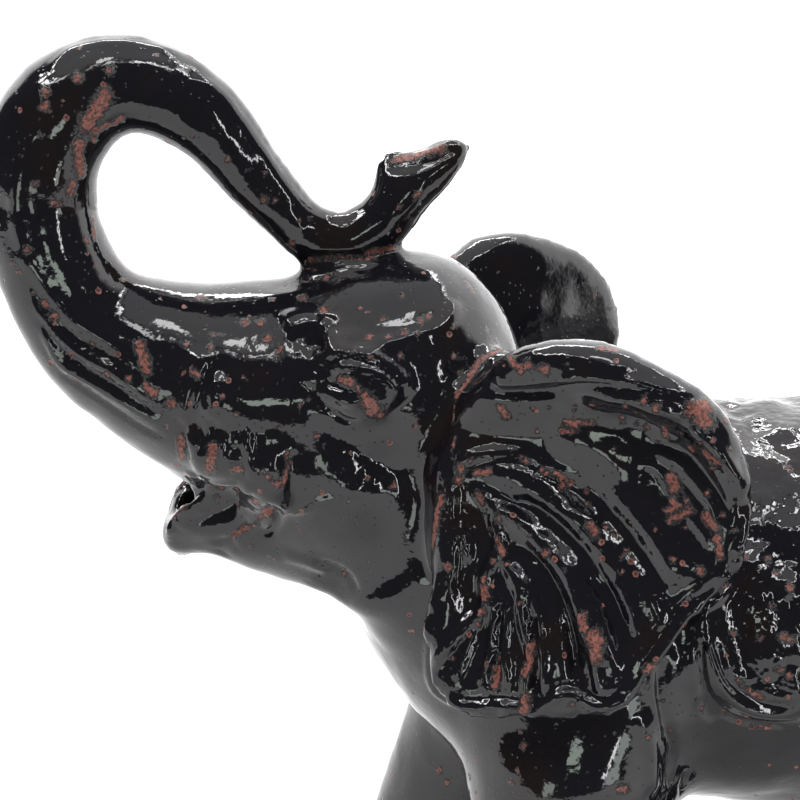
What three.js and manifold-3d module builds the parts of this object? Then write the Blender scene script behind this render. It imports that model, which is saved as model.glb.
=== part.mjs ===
// A walking elephant with its trunk curled back onto its forehead, cast in one piece of glazed red clay.
// Millimetres, +Z up. The elephant faces -X and stands on Z = 0, with its bounding box centred over the origin.
// The figure is modelled like clay: rounded forms melt into each other in a distance field,
// the field is turned into a closed mesh, the mesh is thinned, and the soles are cut flat.
import * as THREE from "three";
import { mergeVertices } from "three/addons/utils/BufferGeometryUtils.js";
import Module from "manifold-3d";

// Driving sizes
const figureHeight = 330; // sole to the top of the trunk's curl
const earThickness = 6.2;
const clothThickness = 2.4; // saddle cloth, above the back
const clothRimWidth = 4.2;
const clothRimHeight = 1.3; // above the cloth
const gridStep = 2.8; // spacing at which the clay is sampled
const triangleBudget = 9400;

// The pose, proportions and carving are shares of the figure's height: [x, y, z, radius] in hundredths.
const share = figureHeight / 100;
const soleLevel = -1.9;

const torso = [
  [-9, 0, 49.5, 14.2],
  [4, 0, 48.8, 16.6],
  [18, 0, 47.8, 17.7],
  [32, 0, 48.8, 16.9],
  [41.5, 0, 48.2, 13.4],
];
const neck = [
  [-20, 0, 66, 9],
  [-16.5, 0, 58, 11.6],
  [-9, 0, 50, 12.5],
];
const skull = [
  [-21.3, 0, 71.8, 8.7],
  [-26, 0, 70.6, 8.7],
  [-32.4, 0, 69.6, 7.6],
];
const trunk = [
  [-33, 0, 69.6, 7.6],
  [-39.1, 0, 71.2, 7.2],
  [-45.8, 0, 74.9, 5.5],
  [-48.8, 0, 79.6, 4.7],
  [-49.8, 0, 85.1, 4.3],
  [-48.7, 0, 91, 4.6],
  [-44.4, 0, 94.2, 3.9],
  [-40.4, 0, 93.7, 3.5],
  [-36.7, 0, 91.2, 3.1],
  [-34.1, 0, 87.9, 2.7],
  [-31.7, 0, 84.9, 2.4],
  [-29.3, 0, 82.6, 2.2],
  [-26.2, 0, 81.9, 2],
  [-22.9, 0, 83.3, 2.2],
  [-21.1, 0, 85.6, 2.3],
  [-19, 0, 87.3, 1.7],
  [-17.2, 0, 88.4, 0.8],
];
const trunkLip = [
  [-22.4, 0, 84.4, 1.5],
  [-22.9, 0, 87.2, 0.9],
  [-23, 0, 88.2, 0.7],
];
const nostrils = [
  [-20.9, 0, 90, 1],
  [-20.7, 0, 88.2, 0.6],
];
// The trunk's underside where it meets the mouth, and the pad it leans on the forehead with.
const muzzle = [
  [-39.6, 0, 68.7, 4.5],
  [-38.6, 0, 66.9, 3.7],
  [-37.4, 0, 65.2, 2.7],
];
const trunkRest = [
  [-30.2, 0, 80.9, 0.8],
  [-27, 0, 80, 1.5],
];
const jaw = [
  [-22, 0, 60.1, 8],
  [-28, 0, 58.7, 6.3],
  [-33.5, 0, 58.8, 4.5],
  [-37.4, 0, 58.8, 3.1],
  [-39.8, 0, 57.2, 1.8],
];
const mouth = [
  [-41, 0, 60.4, 0.8],
  [-38.4, 0, 60.8, 1.8],
  [-35, 0, 62, 1.6],
  [-31.5, 0, 62.8, 0.8],
];
const legs = {
  leftFore: [
    [-6.4, -6.6, 49, 10.2],
    [-8.6, -8.9, 38, 8.8],
    [-9.4, -9.6, 27, 6.9],
    [-8.6, -9.6, 19, 6.5],
    [-7.8, -9.6, 9, 5.6],
    [-8.8, -9.6, 0.5, 6.9],
  ],
  rightFore: [
    [-6.4, 6.6, 49, 10.2],
    [-10.8, 8.8, 36, 8.3],
    [-15.6, 9.6, 26, 6.7],
    [-18.2, 9.6, 18, 6.3],
    [-18.8, 9.6, 9, 5.5],
    [-20.6, 9.6, 0.5, 6.9],
  ],
  leftHind: [
    [38, -6.4, 47, 11.6],
    [34.6, -8.8, 36, 9.4],
    [34.4, -9.6, 26, 7],
    [35, -9.6, 17, 5.9],
    [33.2, -9.5, 8, 5.6],
    [31.2, -9.5, 0.5, 6.8],
  ],
  rightHind: [
    [38.6, 6.4, 47, 11.6],
    [40.4, 8.8, 35, 9.2],
    [43.4, 9.5, 25, 6.9],
    [45.6, 9.5, 16.5, 5.8],
    [44.6, 9.5, 8, 5.5],
    [42.6, 9.5, 0.5, 6.8],
  ],
};
const tail = [
  [52.5, 0, 56, 1.9],
  [56, 1, 50, 1.7],
  [56, 3, 42, 1.5],
  [52.8, 6, 33, 1.4],
  [51, 7.8, 25, 1.4],
  [50.8, 8.2, 20, 2.2],
  [49.6, 8.3, 15, 0.8],
];

// The forms of one side of the face; the other side mirrors them.
const face = {
  eye: { centre: [-26, 9, 71.4], radii: [3.2, 1.7, 1.9], tilt: 22 },
  cheek: { centre: [-35.2, 4.8, 67.4], radii: [4.6, 3.4, 3.6], tilt: -20 },
  brow: [
    [-31, 6.8, 74.2, 0.9],
    [-27.2, 8.1, 74.7, 1.3],
    [-22.6, 8.5, 73.6, 1],
  ],
  lip: [
    [-35.4, 3.2, 61.8, 0.9],
    [-37.6, 3, 61.4, 1],
    [-39.4, 2.6, 59.8, 0.9],
    [-40.8, 1.2, 57.9, 0.8],
  ],
  earRoot: [
    [-15, 8.6, 73.2, 1.5],
    [-18.4, 9.4, 67, 2],
    [-18.8, 10.6, 59, 2],
  ],
};

// Each ear is drawn flat, in a plane that flares outwards and back, as how far out from its root and how high.
// Its middle is dished, and below its fold it lifts off over the shoulder, by a share for each share down.
const earPlane = { x: -19.7, y: 10.3, flare: 26, dish: 1.1, middle: [11, 62], reach: 15, fold: 66, lift: 0.3 };
const rightEarRise = 1.6;
const earOutline = [
  [4.2, 74.4],
  [7, 76.3],
  [11.5, 76.9],
  [16, 75.5],
  [20.4, 73.3],
  [23, 69.6],
  [23.5, 65],
  [22.4, 60.2],
  [18.2, 55.6],
  [15.4, 51.8],
  [13, 49],
  [6.4, 47.9],
  [0.8, 47.4],
  [-1.7, 49.6],
  [-1.2, 57],
  [0.2, 65],
  [1.8, 70.5],
];
const earRolls = {
  rim: [
    [4.4, 73.6, 1.2],
    [8.5, 75, 1.8],
    [14, 74.4, 1.8],
    [19.2, 71.8, 1.5],
    [21.9, 67.5, 1.1],
    [22.2, 62.5, 0.8],
  ],
  upperPleat: [
    [0.8, 66.2, 1.3],
    [5.5, 66, 1.4],
    [10.4, 62.2, 1.3],
    [14.4, 57, 1.1],
    [15.4, 54, 0.8],
  ],
  middlePleat: [
    [1.6, 64.6, 1.1],
    [6, 61.4, 1.2],
    [10, 57, 1.2],
    [12.4, 53, 1.2],
    [12.8, 50, 0.9],
  ],
  lowerPleat: [
    [2, 62, 0.9],
    [5.5, 57.5, 1.1],
    [8.1, 53.6, 1.2],
    [8.4, 49.6, 1.1],
  ],
  innerPleat: [
    [1, 61, 0.8],
    [4, 56, 0.9],
    [5, 52, 1],
    [4.2, 49, 0.8],
  ],
  frontFold: [
    [0.3, 63.5, 1.1],
    [-0.6, 57, 0.9],
    [-1, 50, 0.7],
  ],
};

const cloth = { front: -1.2, back: 36.5, hem: 45.4, corner: 6.5 };
const toenail = { turns: [-56, -19, 19, 56], out: 0.9, high: 0.7, radii: [1.1, 1.5, 2] };
const hollowWidth = { mouth: 1.35, nostrils: 1.5 };

// How far a form's surface softens into the clay it is pressed on.
const melt = { body: 5, leg: 3.4, head: 4, jaw: 2.2, ear: 1.8, roll: 0.5, detail: 0.6, hollow: 0.5 };

const { clamp, lerp, smoothstep, degToRad } = THREE.MathUtils;

// Smooth union of two distances, and the first with the second cut away.
function melted(a, b, radius) {
  const h = clamp(0.5 + (0.5 * (b - a)) / radius, 0, 1);
  return lerp(b, a, h) - radius * h * (1 - h);
}
const cutAway = (a, b, radius) => -melted(-a, b, radius);

// A rounded form along a smooth curve through its stations. wide stretches it along Y.
// Everything in the field is measured in shares.
function limb(stations, steps, { wide = 1, soft = () => melt.detail } = {}) {
  const line = new THREE.CatmullRomCurve3(stations.map(([x, y, z]) => new THREE.Vector3(x, y / wide, z)));
  const sizes = new THREE.SplineCurve(stations.map((station) => new THREE.Vector2(station[3], 0)));
  const balls = [];
  const box = new THREE.Box3();
  for (let i = 0; i <= steps; i++) {
    const { x, y, z } = line.getPoint(i / steps);
    const r = sizes.getPoint(i / steps).x;
    balls.push([x, y, z, r]);
    box.expandByPoint(new THREE.Vector3(x - r, (y - r) * wide, z - r));
    box.expandByPoint(new THREE.Vector3(x + r, (y + r) * wide, z + r));
  }
  // Gives the distance, and how softly the form melts at its nearest place.
  function measure(x, y, z) {
    let nearest = Infinity;
    let along = 0;
    for (let i = 0; i < steps; i++) {
      const a = balls[i];
      const b = balls[i + 1];
      const ux = b[0] - a[0];
      const uy = b[1] - a[1];
      const uz = b[2] - a[2];
      const px = x - a[0];
      const py = y / wide - a[1];
      const pz = z - a[2];
      const t = clamp((px * ux + py * uy + pz * uz) / (ux * ux + uy * uy + uz * uz), 0, 1);
      const d = Math.sqrt((px - t * ux) ** 2 + (py - t * uy) ** 2 + (pz - t * uz) ** 2) - lerp(a[3], b[3], t);
      if (d < nearest) {
        nearest = d;
        along = (i + t) / steps;
      }
    }
    return [nearest, soft(along)];
  }
  return { box, measure };
}

// An egg of clay, tilted about Y and turned about Z by angles in degrees.
function egg({ centre, radii, tilt = 0, turn = 0 }) {
  const turned = new THREE.Euler(0, degToRad(tilt), degToRad(turn), "ZYX");
  const back = new THREE.Matrix4().makeRotationFromEuler(turned).transpose();
  const size = 2 * Math.max(...radii);
  const box = new THREE.Box3().setFromCenterAndSize(
    new THREE.Vector3(...centre),
    new THREE.Vector3(size, size, size),
  );
  const p = new THREE.Vector3();
  function measure(x, y, z) {
    p.set(x - centre[0], y - centre[1], z - centre[2]).applyMatrix4(back);
    const [ex, ey, ez] = [p.x / radii[0], p.y / radii[1], p.z / radii[2]];
    const reach = Math.hypot(ex, ey, ez);
    const slope = Math.hypot(ex / radii[0], ey / radii[1], ez / radii[2]);
    return [slope === 0 ? -Math.min(...radii) : (reach * (reach - 1)) / slope, melt.detail];
  }
  return { box, measure };
}

// Signed distance to a closed outline in a plane.
function outlineDistance(outline, s, t) {
  let nearest = Infinity;
  let inside = false;
  for (let i = 0, j = outline.length - 1; i < outline.length; j = i++) {
    const a = outline[i];
    const b = outline[j];
    const ux = b.x - a.x;
    const uy = b.y - a.y;
    const px = s - a.x;
    const py = t - a.y;
    const k = clamp((px * ux + py * uy) / (ux * ux + uy * uy), 0, 1);
    nearest = Math.min(nearest, (px - k * ux) ** 2 + (py - k * uy) ** 2);
    if (a.y > t !== b.y > t && s < a.x + ((t - a.y) * ux) / uy) inside = !inside;
  }
  return inside ? -Math.sqrt(nearest) : Math.sqrt(nearest);
}

// An ear on one side, raised by rise: a dished leaf of even thickness,
// with a rolled top rim and pleats fanned over it.
function ear(side, rise) {
  const corners = earOutline.map(([s, t]) => new THREE.Vector3(s, t, 0));
  const outline = new THREE.CatmullRomCurve3(corners, true).getPoints(70).slice(0, -1);
  const [out, away] = [Math.cos(degToRad(earPlane.flare)), Math.sin(degToRad(earPlane.flare))];
  const half = earThickness / share / 2;
  const rolls = Object.values(earRolls).map((line) =>
    limb(
      line.map(([s, t, r]) => [s, 0.6 * r, t, r]),
      14,
    ),
  );
  const box = new THREE.Box3();
  for (const { x: s, y: t } of outline) {
    const lifted = earPlane.y + s * away + earPlane.lift * Math.max(0, earPlane.fold - t);
    box.expandByPoint(new THREE.Vector3(earPlane.x + s * out, side * lifted, t + rise));
  }
  box.expandByScalar(earPlane.dish + 2 * half);
  function measure(x, y, z) {
    const t = z - rise;
    const dx = x - earPlane.x;
    const dy = side * y - earPlane.y - earPlane.lift * Math.max(0, earPlane.fold - t);
    const s = dx * out + dy * away;
    const spread = Math.hypot(s - earPlane.middle[0], t - earPlane.middle[1]) / earPlane.reach;
    const n = dy * out - dx * away + earPlane.dish * Math.max(0, 1 - spread * spread);
    const edge = outlineDistance(outline, s, t) + half;
    let d = (edge > 0 ? Math.hypot(edge, n) : Math.abs(n)) - half;
    for (const roll of rolls) d = melted(d, roll.measure(s, n, t)[0], melt.roll);
    return [d, melt.ear];
  }
  return { box, measure };
}

// How high the saddle cloth stands above the body, with its rim, from how far inside its outline a place is.
function clothHeight(x, z) {
  const across = Math.abs(x - (cloth.front + cloth.back) / 2) - (cloth.back - cloth.front) / 2 + cloth.corner;
  const down = cloth.hem - z + cloth.corner;
  const outside = Math.hypot(Math.max(across, 0), Math.max(down, 0));
  const inside = (cloth.corner - outside - Math.min(Math.max(across, down), 0)) * share;
  const slope = smoothstep(inside, 0, clothThickness);
  const rim = slope - smoothstep(inside, clothRimWidth, clothRimWidth + clothThickness);
  return clothThickness * slope + clothRimHeight * rim;
}

// Toenails stand round the front of a foot.
function toenails([x, y, , r]) {
  const out = toenail.out * r;
  return toenail.turns.map((turn) => {
    const angle = degToRad(180 + turn);
    const centre = [x + out * Math.cos(angle), y + out * Math.sin(angle), toenail.high];
    return egg({ centre, radii: toenail.radii, turn });
  });
}

// One side's copy of a form of the face.
function faceForm(shape, side) {
  if (Array.isArray(shape)) {
    return limb(
      shape.map(([x, y, z, r]) => [x, side * y, z, r]),
      8,
    );
  }
  return egg({ ...shape, centre: [shape.centre[0], side * shape.centre[1], shape.centre[2]] });
}

const bodyForms = [
  limb(torso, 14, { wide: 0.96, soft: () => melt.body }),
  limb(neck, 8, { wide: 0.92, soft: () => melt.body }),
  ...Object.values(legs).map((leg) => limb(leg, 14, { soft: () => melt.leg })),
  ...Object.values(legs).flatMap((leg) => toenails(leg[leg.length - 1])),
  limb(tail, 20),
];
const headForms = [
  limb(skull, 8, { wide: 1.1, soft: () => melt.head }),
  limb(jaw, 12, { wide: 1.05, soft: () => melt.jaw }),
  limb(trunk, 48, { soft: (along) => lerp(melt.head, melt.detail, smoothstep(along, 0.1, 0.4)) }),
  ...[-1, 1].flatMap((side) => Object.values(face).map((shape) => faceForm(shape, side))),
  limb(trunkLip, 6),
  limb(muzzle, 6, { wide: 1.2, soft: () => melt.jaw }),
  limb(trunkRest, 4, { wide: 1.5 }),
  ear(-1, 0),
  ear(1, rightEarRise),
];
const hollows = [limb(mouth, 8, { wide: hollowWidth.mouth }), limb(nostrils, 4, { wide: hollowWidth.nostrils })];

// The distance from a place to the clay's surface, negative inside.
function clay(x, y, z) {
  let d = Infinity;
  function press(form) {
    const { min, max } = form.box;
    const gap = Math.max(min.x - x, x - max.x, min.y - y, y - max.y, min.z - z, z - max.z);
    if (gap > melt.body) {
      d = Math.min(d, gap);
      return;
    }
    const [own, soft] = form.measure(x, y, z);
    d = d === Infinity ? own : melted(d, own, soft);
  }
  bodyForms.forEach(press);
  d -= clothHeight(x, z) / share;
  headForms.forEach(press);
  for (const hollow of hollows) d = cutAway(d, hollow.measure(x, y, z)[0], melt.hollow);
  return d;
}

// Samples the field on a grid and wraps its zero level with marching tetrahedra.
function wrap(field, box, step) {
  const [nx, ny, nz] = ["x", "y", "z"].map((axis) => Math.ceil((box.max[axis] - box.min[axis]) / step) + 1);
  const place = (n) => [
    box.min.x + (n % nx) * step,
    box.min.y + (Math.floor(n / nx) % ny) * step,
    box.min.z + Math.floor(n / (nx * ny)) * step,
  ];
  const values = new Float64Array(nx * ny * nz).map((_, n) => field(...place(n)) || 1e-9);
  // A cell's corners, and six tetrahedra round its long diagonal.
  const corners = [0, 1, nx, nx + 1].flatMap((n) => [n, n + nx * ny]);
  const ring = [1, 3, 2, 6, 4, 5];
  const tetrahedra = ring.map((a, i) => [0, a, ring[(i + 1) % ring.length], 7]);
  const cuts = new Map();
  const points = [];
  const faces = [];
  function cut(a, b) {
    const [low, high] = a < b ? [a, b] : [b, a];
    const key = low * values.length + high;
    if (!cuts.has(key)) {
      const t = values[low] / (values[low] - values[high]);
      const end = place(high);
      cuts.set(key, points.length);
      points.push(place(low).map((v, axis) => lerp(v, end[axis], t)));
    }
    return cuts.get(key);
  }
  for (let k = 0; k < nz - 1; k++) {
    for (let j = 0; j < ny - 1; j++) {
      for (let i = 0; i < nx - 1; i++) {
        const base = i + nx * (j + ny * k);
        const full = corners.filter((offset) => values[base + offset] < 0).length;
        if (full === 0 || full === corners.length) continue;
        for (const tetrahedron of tetrahedra) {
          const nodes = tetrahedron.map((corner) => base + corners[corner]);
          const low = nodes.filter((n) => values[n] < 0);
          const high = nodes.filter((n) => values[n] > 0);
          if (low.length === 0 || high.length === 0) continue;
          const loop =
            low.length === 2
              ? [cut(low[0], high[0]), cut(low[0], high[1]), cut(low[1], high[1]), cut(low[1], high[0])]
              : low.flatMap((a) => high.map((b) => cut(a, b)));
          if (!evenOrder([...low, ...high], nodes)) loop.reverse();
          faces.push([loop[0], loop[1], loop[2]]);
          if (loop.length === 4) faces.push([loop[0], loop[2], loop[3]]);
        }
      }
    }
  }
  return { points, faces };
}

// Whether one order of the items is an even number of swaps away from the other.
function evenOrder(order, reference) {
  const ranks = order.map((item) => reference.indexOf(item));
  let swaps = 0;
  ranks.forEach((rank, i) => {
    swaps += ranks.slice(i + 1).filter((later) => later < rank).length;
  });
  return swaps % 2 === 0;
}

// The normal of a triangle, as long as twice its area.
function facing(a, b, c) {
  const [ux, uy, uz] = [b[0] - a[0], b[1] - a[1], b[2] - a[2]];
  const [vx, vy, vz] = [c[0] - a[0], c[1] - a[1], c[2] - a[2]];
  return [uy * vz - uz * vy, uz * vx - ux * vz, ux * vy - uy * vx];
}

// A queue that gives back its cheapest item first.
function cheapestFirst() {
  const heap = [];
  const swap = (i, j) => ([heap[i], heap[j]] = [heap[j], heap[i]]);
  function push(item) {
    heap.push(item);
    let i = heap.length - 1;
    while (i > 0 && heap[(i - 1) >> 1].cost > heap[i].cost) {
      swap(i, (i - 1) >> 1);
      i = (i - 1) >> 1;
    }
  }
  function pop() {
    swap(0, heap.length - 1);
    const top = heap.pop();
    let i = 0;
    for (;;) {
      let least = i;
      for (const child of [2 * i + 1, 2 * i + 2]) {
        if (child < heap.length && heap[child].cost < heap[least].cost) least = child;
      }
      if (least === i) return top;
      swap(i, least);
      i = least;
    }
  }
  return { push, pop, size: () => heap.length };
}

// Squared distances to a sum of planes, as the ten terms of a symmetric matrix.
const planeTerms = (a, b, c, d) => [a * a, a * b, a * c, a * d, b * b, b * c, b * d, c * c, c * d, d * d];
const planeCost = (q, [x, y, z]) =>
  q[0] * x * x + q[4] * y * y + q[7] * z * z + q[9] + 2 * (q[1] * x * y + q[2] * x * z + q[3] * x) +
  2 * (q[5] * y * z + q[6] * y + q[8] * z);

// The place with the lowest cost, or null where the planes leave it loose.
function planeMeeting(q) {
  const [xx, xy, xz] = [q[4] * q[7] - q[5] * q[5], q[2] * q[5] - q[1] * q[7], q[1] * q[5] - q[2] * q[4]];
  const [yy, yz, zz] = [q[0] * q[7] - q[2] * q[2], q[1] * q[2] - q[0] * q[5], q[0] * q[4] - q[1] * q[1]];
  const volume = q[0] * xx + q[1] * xy + q[2] * xz;
  if (Math.abs(volume) < 1e-9) return null;
  return [
    -(xx * q[3] + xy * q[6] + xz * q[8]) / volume,
    -(xy * q[3] + yy * q[6] + yz * q[8]) / volume,
    -(xz * q[3] + yz * q[6] + zz * q[8]) / volume,
  ];
}

// Thins a closed mesh to a number of faces by folding away the edges that cost the least shape.
function thin({ points, faces }, budget) {
  const planes = points.map(() => new Array(10).fill(0));
  const around = points.map(() => new Set());
  const age = points.map(() => 0);
  faces.forEach((face, f) => {
    const normal = facing(...face.map((v) => points[v]));
    const area = Math.hypot(...normal) || 1e-12;
    const [a, b, c] = normal.map((v) => v / area);
    const [x, y, z] = points[face[0]];
    const terms = planeTerms(a, b, c, -(a * x + b * y + c * z));
    for (const v of face) {
      around[v].add(f);
      terms.forEach((term, i) => (planes[v][i] += term * area));
    }
  });
  const queue = cheapestFirst();
  const neighbours = (v) => new Set([...around[v]].flatMap((f) => faces[f]).filter((n) => n !== v));
  function offer(a, b) {
    const q = planes[a].map((v, i) => v + planes[b][i]);
    const middle = points[a].map((v, i) => (v + points[b][i]) / 2);
    const length = Math.hypot(...points[a].map((v, i) => v - points[b][i]));
    const spots = [middle, points[a], points[b]];
    const best = planeMeeting(q);
    if (best && Math.hypot(...best.map((v, i) => v - middle[i])) < 2 * length) spots.push(best);
    const costs = spots.map((spot) => planeCost(q, spot));
    const cost = Math.min(...costs);
    queue.push({ cost, spot: spots[costs.indexOf(cost)], a, b, ages: age[a] + age[b] });
  }
  points.forEach((_, v) => neighbours(v).forEach((n) => v < n && offer(v, n)));
  let count = faces.length;
  while (count > budget && queue.size() > 0) {
    const { spot, a, b, ages } = queue.pop();
    if (!around[a] || !around[b] || ages !== age[a] + age[b]) continue;
    const [besideA, besideB] = [neighbours(a), neighbours(b)];
    if (!besideA.has(b) || [...besideA].filter((v) => besideB.has(v)).length !== 2) continue;
    const lost = [...around[a]].filter((f) => around[b].has(f));
    const kept = [...around[a], ...around[b]].filter((f) => !lost.includes(f));
    const folds = kept.some((f) => {
      const before = facing(...faces[f].map((v) => points[v]));
      const after = facing(...faces[f].map((v) => (v === a || v === b ? spot : points[v])));
      const agreement = before[0] * after[0] + before[1] * after[1] + before[2] * after[2];
      return agreement < 0.25 * Math.hypot(...before) * Math.hypot(...after);
    });
    if (folds) continue;
    points[a] = spot;
    planes[a] = planes[a].map((v, i) => v + planes[b][i]);
    for (const f of lost) {
      faces[f].forEach((v) => around[v].delete(f));
      faces[f] = null;
    }
    for (const f of around[b]) {
      faces[f] = faces[f].map((v) => (v === b ? a : v));
      around[a].add(f);
    }
    around[b] = null;
    count -= lost.length;
    age[a]++;
    for (const v of neighbours(a)) offer(a, v);
  }
  return { points, faces: faces.filter(Boolean) };
}

function geometryOf({ points, faces }) {
  const geometry = new THREE.BufferGeometry();
  geometry.setAttribute("position", new THREE.Float32BufferAttribute(points.flat(), 3));
  geometry.setIndex(faces.flat());
  return geometry;
}

const wasm = await Module();
wasm.setup();

function solidOf(geometry) {
  const bare = geometry.clone();
  bare.deleteAttribute("normal");
  bare.deleteAttribute("uv");
  const merged = mergeVertices(bare);
  const vertProperties = Float32Array.from(merged.attributes.position.array);
  const triVerts = Uint32Array.from(merged.index.array);
  return new wasm.Manifold(new wasm.Mesh({ numProp: 3, vertProperties, triVerts }));
}

// Models the clay, cuts the soles flat and stands the figure over the origin.
function elephant() {
  const box = new THREE.Box3();
  for (const form of [...bodyForms, ...headForms]) box.union(form.box);
  box.expandByScalar(2);
  const mesh = thin(wrap(clay, box, gridStep / share), triangleBudget);
  const figure = geometryOf(mesh).scale(share, share, share);
  const ground = new THREE.BoxGeometry(3 * figureHeight, 3 * figureHeight, figureHeight);
  ground.translate(0, 0, soleLevel * share - figureHeight / 2);
  const { vertProperties, triVerts } = solidOf(figure).subtract(solidOf(ground)).getMesh();
  const standing = new THREE.BufferGeometry();
  standing.setAttribute("position", new THREE.BufferAttribute(vertProperties, 3));
  standing.setIndex(new THREE.BufferAttribute(triVerts, 1));
  standing.computeBoundingBox();
  const middle = standing.boundingBox.getCenter(new THREE.Vector3());
  standing.translate(-middle.x, -middle.y, -soleLevel * share);
  standing.computeVertexNormals();
  return standing;
}

const glaze = new THREE.MeshStandardMaterial({ color: 0x15151a, roughness: 0.12, metalness: 0 });
const figure = new THREE.Group();
const body = new THREE.Mesh(elephant(), glaze);
body.name = "elephant";
figure.add(body);

export default figure;
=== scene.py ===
import math
import random

import bpy
import numpy as np
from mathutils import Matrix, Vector, noise
from mathutils.bvhtree import BVHTree
from mathutils.kdtree import KDTree


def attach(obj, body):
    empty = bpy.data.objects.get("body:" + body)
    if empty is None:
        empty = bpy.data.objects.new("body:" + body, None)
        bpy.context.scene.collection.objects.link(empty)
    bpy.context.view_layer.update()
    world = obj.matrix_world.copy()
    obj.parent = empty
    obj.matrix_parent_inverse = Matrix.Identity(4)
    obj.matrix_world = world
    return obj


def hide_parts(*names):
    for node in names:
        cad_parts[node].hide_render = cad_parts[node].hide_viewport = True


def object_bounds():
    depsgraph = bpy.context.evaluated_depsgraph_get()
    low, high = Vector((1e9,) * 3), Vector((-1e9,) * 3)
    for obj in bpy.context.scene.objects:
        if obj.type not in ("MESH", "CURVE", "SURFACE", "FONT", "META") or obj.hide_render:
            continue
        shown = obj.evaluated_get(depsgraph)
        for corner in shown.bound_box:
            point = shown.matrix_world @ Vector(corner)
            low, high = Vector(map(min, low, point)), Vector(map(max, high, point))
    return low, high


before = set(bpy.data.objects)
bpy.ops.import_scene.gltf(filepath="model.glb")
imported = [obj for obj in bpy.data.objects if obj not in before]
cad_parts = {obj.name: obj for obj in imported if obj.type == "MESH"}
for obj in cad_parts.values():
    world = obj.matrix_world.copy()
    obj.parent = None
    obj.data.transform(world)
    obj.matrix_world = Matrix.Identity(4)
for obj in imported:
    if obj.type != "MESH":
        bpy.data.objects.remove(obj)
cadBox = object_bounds()
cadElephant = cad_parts["elephant"]
print("frame loaded", [list(corner) for corner in cadBox])

photoView = {
    "aim": (-0.0784, 0.0001, 0.2313),   # what stands at the middle of the photo
    "distance": 0.52,
    "azimuth": -8.0,
    "elevation": 17.0,
    "lens": 86.67,
    "sensor": 36.0,
    "picture": 800,
}


def viewAxes():
    turn = math.radians(photoView["azimuth"])
    tip = math.radians(photoView["elevation"])
    look = np.array((-math.sin(turn) * math.cos(tip), math.cos(turn) * math.cos(tip), -math.sin(tip)))
    right = np.array((math.cos(turn), math.sin(turn), 0.0))
    return look, right, np.cross(right, look)


look, right, up = viewAxes()
eye = np.array(photoView["aim"]) - photoView["distance"] * look
cameraData = bpy.data.cameras.new("photoCamera")
cameraData.lens = photoView["lens"]
cameraData.sensor_width = photoView["sensor"]
camera = bpy.data.objects.new("photoCamera", cameraData)
camera.location = eye
camera.rotation_euler = (math.radians(90 - photoView["elevation"]), 0, math.radians(photoView["azimuth"]))
bpy.context.scene.collection.objects.link(camera)
bpy.context.scene.camera = camera

# The clay body: a copy of the solid, joined up, made fine and even, and eased until no facet shows.
clayBody = {
    "join": 0.00001,       # corners nearer than this are one
    "voxel": 0.0024,
    "rounds": 26,          # easing rounds before the carving
    "ease": 0.5,
    "push": -0.53,         # the push back that keeps the volume
    "fineNear": 0.0042,    # faces this near to a carved line or a mark are split once
    "roundsAfter": 5,
    "sole": 0.0004,        # what is lower than this before the carving stays on the floor
}


def only(obj):
    bpy.ops.object.select_all(action="DESELECT")
    obj.select_set(True)
    bpy.context.view_layer.objects.active = obj


only(cadElephant)
bpy.ops.object.select_all(action="DESELECT")
mesh = cadElephant.data.copy()
elephant = bpy.data.objects.new("glazedElephant", mesh)
bpy.context.scene.collection.objects.link(elephant)
only(elephant)
mesh.materials.clear()
bpy.ops.object.mode_set(mode="EDIT")
bpy.ops.mesh.select_all(action="SELECT")
bpy.ops.mesh.remove_doubles(threshold=clayBody["join"])
bpy.ops.mesh.customdata_custom_splitnormals_clear()
bpy.ops.object.mode_set(mode="OBJECT")
remesh = elephant.modifiers.new("clay", "REMESH")
remesh.mode = "VOXEL"
remesh.voxel_size = clayBody["voxel"]
bpy.ops.object.modifier_apply(modifier="clay")
print("clay body", len(elephant.data.vertices), "vertices")


def placesOf(obj):
    places = np.empty(len(obj.data.vertices) * 3)
    obj.data.vertices.foreach_get("co", places)
    return places.reshape(-1, 3)


def putPlaces(obj, places):
    obj.data.vertices.foreach_set("co", places.ravel())
    obj.data.update()


def normalsOf(obj):
    normals = np.empty(len(obj.data.vertices) * 3)
    obj.data.vertex_normals.foreach_get("vector", normals)
    return normals.reshape(-1, 3)


def eased(obj, rounds):
    places = placesOf(obj)
    ends = np.empty(len(obj.data.edges) * 2, dtype=np.int64)
    obj.data.edges.foreach_get("vertices", ends)
    a, b = ends.reshape(-1, 2).T
    count = len(places)
    share = 1 / np.maximum(np.bincount(a, minlength=count) + np.bincount(b, minlength=count), 1)
    for turn in range(2 * rounds):
        weight = clayBody["ease"] if turn % 2 == 0 else clayBody["push"]
        middle = np.stack([
            (np.bincount(a, places[b, k], count) + np.bincount(b, places[a, k], count)) * share
            for k in range(3)
        ], axis=1)
        places = places + weight * (middle - places)
    putPlaces(obj, places)


eased(elephant, clayBody["rounds"])
# Carving follows lines seen from the photo's camera. Each is laid on the clay where the camera sees it,
# and again on the other side. Lengths and depths are in millimetres, places in pixels of the photo.
carving = {
    "mm": 0.001,
    "step": 3.0,           # pixels between the points of a line
    "taper": 0.14,         # share of a line that fades in at each end
    "earRise": 0.00528,    # how much higher the right ear stands
    "steep": 0.9,          # how much steeper a fold is above its line
    "spread": 1.6,         # how far the clay is moved beside a line, in its half widths
    "facing": 0.1,         # the least that a place faces as its line does
    "earsFrom": 440,       # swellings to the right of this pixel are on the ears
}

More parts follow.
